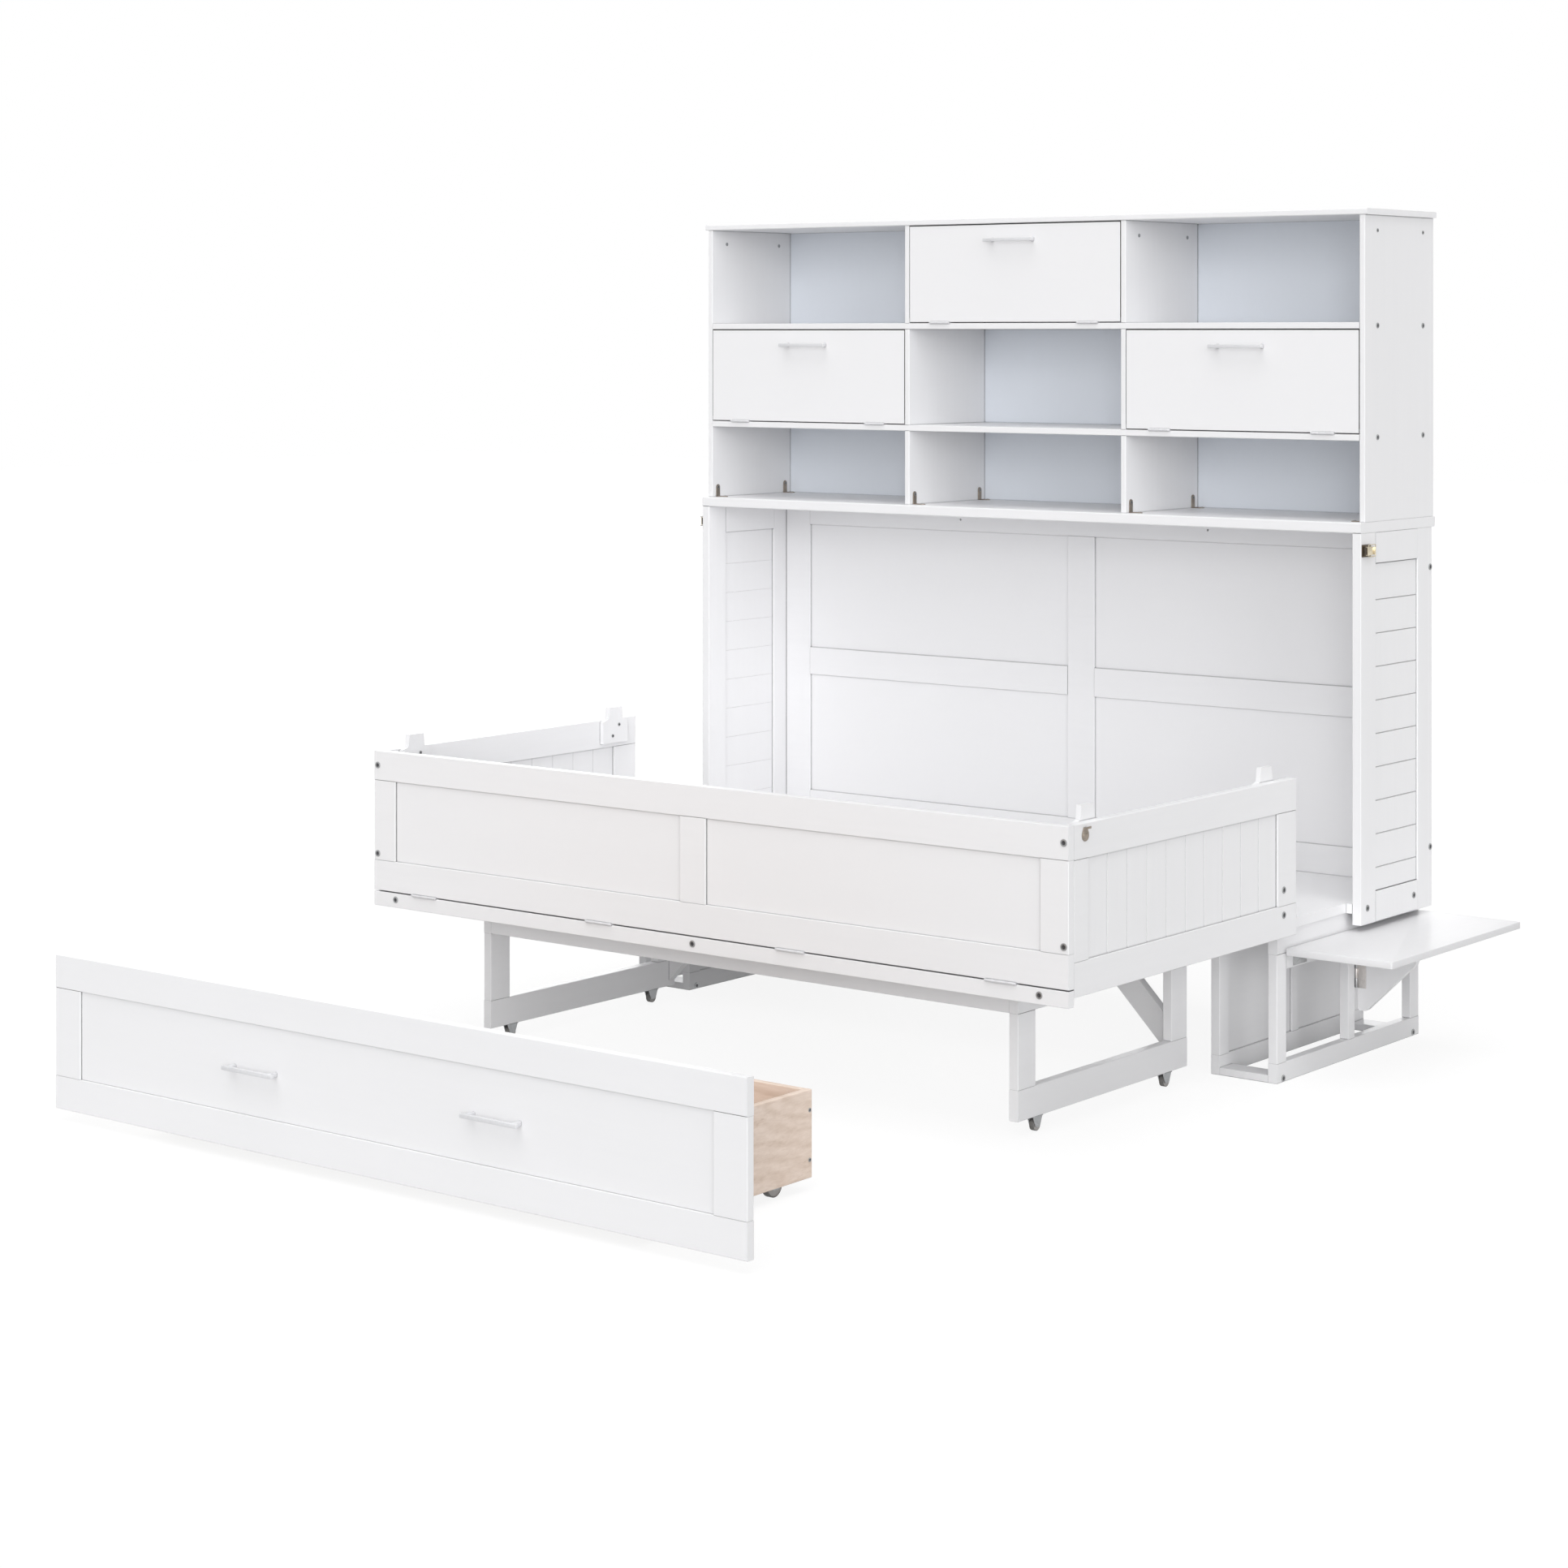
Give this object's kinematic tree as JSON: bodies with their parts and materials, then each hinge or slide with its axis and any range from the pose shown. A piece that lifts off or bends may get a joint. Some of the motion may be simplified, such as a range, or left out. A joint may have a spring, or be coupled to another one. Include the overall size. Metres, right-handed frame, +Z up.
{
  "type": "wall bed",
  "caption": "White cabinet bed that folds down beside the wall, with a bookcase and flap doors on top, a rolling support cart, a drawer on wheels and a bracket-held side table.",
  "frame": {"origin": "bottom centre of the bounding box of the open bed with its drawer out", "axes": "+X to the right of a person who looks at the front, +Y from the front towards the wall, +Z up"},
  "size_m": [2.3482, 2.7644, 2.093],
  "materials": {
    "white_lacquer": "white lacquer over pine boards, satin",
    "white_hardware": "white powder coat, satin",
    "grey_board": "blue-grey painted board, matt",
    "bare_pine": "bare pine, matt",
    "zinc_steel": "zinc plated, satin",
    "bronze_metal": "dark bronze plated, satin",
    "caster_metal": "grey pressed steel, satin",
    "wheel_plastic": "dark grey, matt"
  },
  "bodies": {
    "cabinet": {"pedestal_left": "white_lacquer", "pedestal_right": "white_lacquer", "base_deck": "white_lacquer", "cabinet_side_left": "white_lacquer", "cabinet_side_right": "white_lacquer", "cabinet_side_boards": "white_lacquer", "back_frame": "white_lacquer", "back_panels": "white_lacquer", "desk_board": "white_lacquer", "hutch_side_left": "white_lacquer", "hutch_side_right": "white_lacquer", "hutch_top": "white_lacquer", "hutch_shelves": "white_lacquer", "hutch_dividers": "white_lacquer", "hutch_back": "grey_board", "corner_brackets": "bronze_metal", "cabinet_bolts": "zinc_steel", "flap_hinge_seats": "white_hardware", "bed_pivot_pins": "zinc_steel", "latch_bases": "bronze_metal", "table_hinge_seats": "zinc_steel"},
    "top_flap": {"flap_top_middle": "white_lacquer", "flap_fittings_top_middle": "white_hardware"},
    "left_flap": {"flap_mid_left": "white_lacquer", "flap_fittings_mid_left": "white_hardware"},
    "right_flap": {"flap_mid_right": "white_lacquer", "flap_fittings_mid_right": "white_hardware"},
    "bed": {"bed_front_frame": "white_lacquer", "bed_front_panels": "white_lacquer", "bed_side_left": "white_lacquer", "bed_side_right": "white_lacquer", "bed_side_boards": "white_lacquer", "platform_rail": "white_lacquer", "platform_joists": "white_lacquer", "bed_slats": "white_lacquer", "bed_tongues": "white_lacquer", "latch_keepers": "bronze_metal", "pivot_plates": "zinc_steel", "platform_hinges": "white_hardware", "bed_bolts": "zinc_steel"},
    "cart": {"cart_frames": "white_lacquer", "cart_beams": "white_lacquer", "cart_caster_forks": "caster_metal"},
    "cart_front_wheels": {"cart_wheels_front": "wheel_plastic"},
    "cart_rear_wheels": {"cart_wheels_rear": "wheel_plastic"},
    "drawer": {"drawer_front_frame": "white_lacquer", "drawer_front_panel": "white_lacquer", "drawer_box": "bare_pine", "drawer_handles": "white_hardware", "drawer_fittings": "zinc_steel"},
    "drawer_front_wheels": {"drawer_wheels_front": "wheel_plastic"},
    "drawer_rear_wheels": {"drawer_wheels_rear": "wheel_plastic"},
    "table": {"table_leaf": "white_lacquer", "table_leaf_hinges": "zinc_steel"},
    "bracket": {"table_bracket": "white_lacquer", "table_bracket_hinge": "zinc_steel"},
    "left_lever": {"latch_lever_left": "bronze_metal"},
    "right_lever": {"latch_lever_right": "bronze_metal"},
    "left_loop": {"latch_loop_left": "bronze_metal"},
    "right_loop": {"latch_loop_right": "bronze_metal"}
  },
  "joints": [
    {"name": "bed_fold", "type": "hinge", "parent": "cabinet", "child": "bed", "pos_m": [-0.1176, 0.63275, 0.374], "axis": [-1, 0, 0], "range_deg": [0, 90]},
    {"name": "cart_roll", "type": "slide", "parent": "cabinet", "child": "cart", "axis": [0, 1, 0], "range_m": [0, 0.81]},
    {"name": "drawer_roll", "type": "slide", "parent": "cabinet", "child": "drawer", "axis": [0, 1, 0], "range_m": [0, 1.02]},
    {"name": "cart_front_axles", "type": "hinge", "parent": "cart", "child": "cart_front_wheels", "pos_m": [-0.1176, -0.07225, 0.014], "axis": [-1, 0, 0], "continuous": true},
    {"name": "cart_rear_axles", "type": "hinge", "parent": "cart", "child": "cart_rear_wheels", "pos_m": [-0.1176, 0.47775, 0.014], "axis": [-1, 0, 0], "continuous": true},
    {"name": "drawer_front_axles", "type": "hinge", "parent": "drawer", "child": "drawer_front_wheels", "pos_m": [-0.1176, -1.24325, 0.025], "axis": [-1, 0, 0], "continuous": true},
    {"name": "drawer_rear_axles", "type": "hinge", "parent": "drawer", "child": "drawer_rear_wheels", "pos_m": [-0.1176, -0.88325, 0.025], "axis": [-1, 0, 0], "continuous": true},
    {"name": "top_flap_hinge", "type": "hinge", "parent": "cabinet", "child": "top_flap", "pos_m": [-0.1176, 1.01205, 1.8143], "axis": [1, 0, 0], "range_deg": [0, 90]},
    {"name": "left_flap_hinge", "type": "hinge", "parent": "cabinet", "child": "left_flap", "pos_m": [-0.80793, 1.01205, 1.5383], "axis": [1, 0, 0], "range_deg": [0, 90]},
    {"name": "right_flap_hinge", "type": "hinge", "parent": "cabinet", "child": "right_flap", "pos_m": [0.57273, 1.01205, 1.5383], "axis": [1, 0, 0], "range_deg": [0, 90]},
    {"name": "table_lift", "type": "hinge", "parent": "cabinet", "child": "table", "pos_m": [0.8846, 0.99125, 0.299], "axis": [0, -1, 0], "range_deg": [0, 12]},
    {"name": "bracket_swing", "type": "hinge", "parent": "cabinet", "child": "bracket", "pos_m": [0.8846, 1.04725, 0.2062], "axis": [0, 0, -1], "range_deg": [0, 90]},
    {"name": "left_lever_pin", "type": "hinge", "parent": "cabinet", "child": "left_lever", "pos_m": [-1.1716, 1.00525, 1.252], "axis": [0, 0, 1], "range_deg": [0, 120]},
    {"name": "right_lever_pin", "type": "hinge", "parent": "cabinet", "child": "right_lever", "pos_m": [0.9364, 1.00525, 1.252], "axis": [0, 0, -1], "range_deg": [0, 120]},
    {"name": "left_loop_pin", "type": "hinge", "parent": "left_lever", "child": "left_loop", "pos_m": [-1.1716, 1.01325, 1.252], "axis": [0, 0, 1], "range_deg": [0, 60]},
    {"name": "right_loop_pin", "type": "hinge", "parent": "right_lever", "child": "right_loop", "pos_m": [0.9364, 1.01325, 1.252], "axis": [0, 0, -1], "range_deg": [0, 60]}
  ],
  "couplings": [
    {"joint": "cart_front_axles", "follows": "cart_roll", "rad_per_m": 71.429},
    {"joint": "cart_rear_axles", "follows": "cart_roll", "rad_per_m": 71.429},
    {"joint": "drawer_front_axles", "follows": "drawer_roll", "rad_per_m": 40},
    {"joint": "drawer_rear_axles", "follows": "drawer_roll", "rad_per_m": 40}
  ]
}
